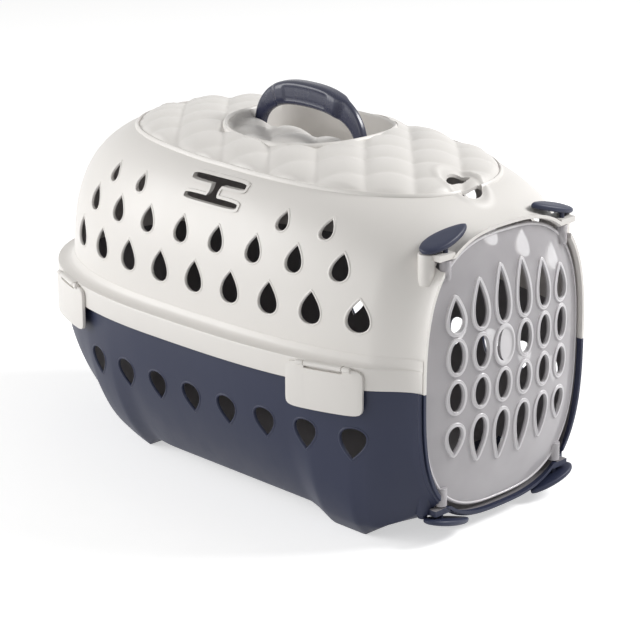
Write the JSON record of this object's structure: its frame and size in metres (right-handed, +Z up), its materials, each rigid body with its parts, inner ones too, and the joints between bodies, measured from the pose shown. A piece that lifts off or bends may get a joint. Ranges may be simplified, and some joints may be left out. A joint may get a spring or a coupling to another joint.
{
  "type": "pet carrier",
  "caption": "Two-part plastic pet carrier with a clear hinged front door, spring catches, side clips, air holes and a carry handle that folds into the roof.",
  "frame": {"origin": "middle of the footprint of the bounding box, on the floor under the feet", "axes": "+X towards the door, +Y to the carrier's left, +Z up"},
  "size_m": [0.513, 0.316, 0.339],
  "materials": {
    "upper_shell": "satin",
    "lower_shell": "satin",
    "door": "glossy clear smoke",
    "handle": "satin",
    "clip": "satin",
    "catch": "satin"
  },
  "bodies": {
    "shell": {"lower_shell": "lower_shell", "upper_shell": "upper_shell"},
    "door": {"door": "door"},
    "handle": {"handle": "handle"},
    "clip_front_left": {"clip_front_left": "clip"},
    "clip_front_right": {"clip_front_right": "clip"},
    "clip_rear_left": {"clip_rear_left": "clip"},
    "clip_rear_right": {"clip_rear_right": "clip"},
    "catch_top_left": {"catch_top_left": "catch"},
    "catch_top_right": {"catch_top_right": "catch"},
    "catch_bottom_left": {"catch_bottom_left": "catch"},
    "catch_bottom_right": {"catch_bottom_right": "catch"}
  },
  "joints": [
    {"name": "door_hinge", "type": "hinge", "parent": "shell", "child": "door", "pos_m": [0.2425, 0.0722, 0.1365], "axis": [0, 0, 1], "range_deg": [0, 110]},
    {"name": "handle_hinge", "type": "hinge", "parent": "shell", "child": "handle", "pos_m": [0.0165, 0, 0.283], "axis": [1, 0, 0], "range_deg": [-88, 0]},
    {"name": "clip_front_left_hinge", "type": "hinge", "parent": "shell", "child": "clip_front_left", "pos_m": [0.17466, 0.14222, 0.153], "axis": [0.9543, -0.2989, 0], "range_deg": [0, 100]},
    {"name": "clip_front_right_hinge", "type": "hinge", "parent": "shell", "child": "clip_front_right", "pos_m": [0.17466, -0.14222, 0.153], "axis": [-0.9543, -0.2989, 0], "range_deg": [0, 100]},
    {"name": "clip_rear_left_hinge", "type": "hinge", "parent": "shell", "child": "clip_rear_left", "pos_m": [-0.15276, 0.14066, 0.153], "axis": [0.938, 0.3465, 0], "range_deg": [0, 100]},
    {"name": "clip_rear_right_hinge", "type": "hinge", "parent": "shell", "child": "clip_rear_right", "pos_m": [-0.15276, -0.14066, 0.153], "axis": [-0.938, 0.3465, 0], "range_deg": [0, 100]},
    {"name": "catch_top_left_slide", "type": "slide", "parent": "shell", "child": "catch_top_left", "axis": [0, 0, 1], "range_m": [0, 0.0065]},
    {"name": "catch_top_right_slide", "type": "slide", "parent": "shell", "child": "catch_top_right", "axis": [0, 0, 1], "range_m": [0, 0.0065]},
    {"name": "catch_bottom_left_slide", "type": "slide", "parent": "shell", "child": "catch_bottom_left", "axis": [0, 0, -1], "range_m": [0, 0.0065]},
    {"name": "catch_bottom_right_slide", "type": "slide", "parent": "shell", "child": "catch_bottom_right", "axis": [0, 0, -1], "range_m": [0, 0.0065]}
  ]
}
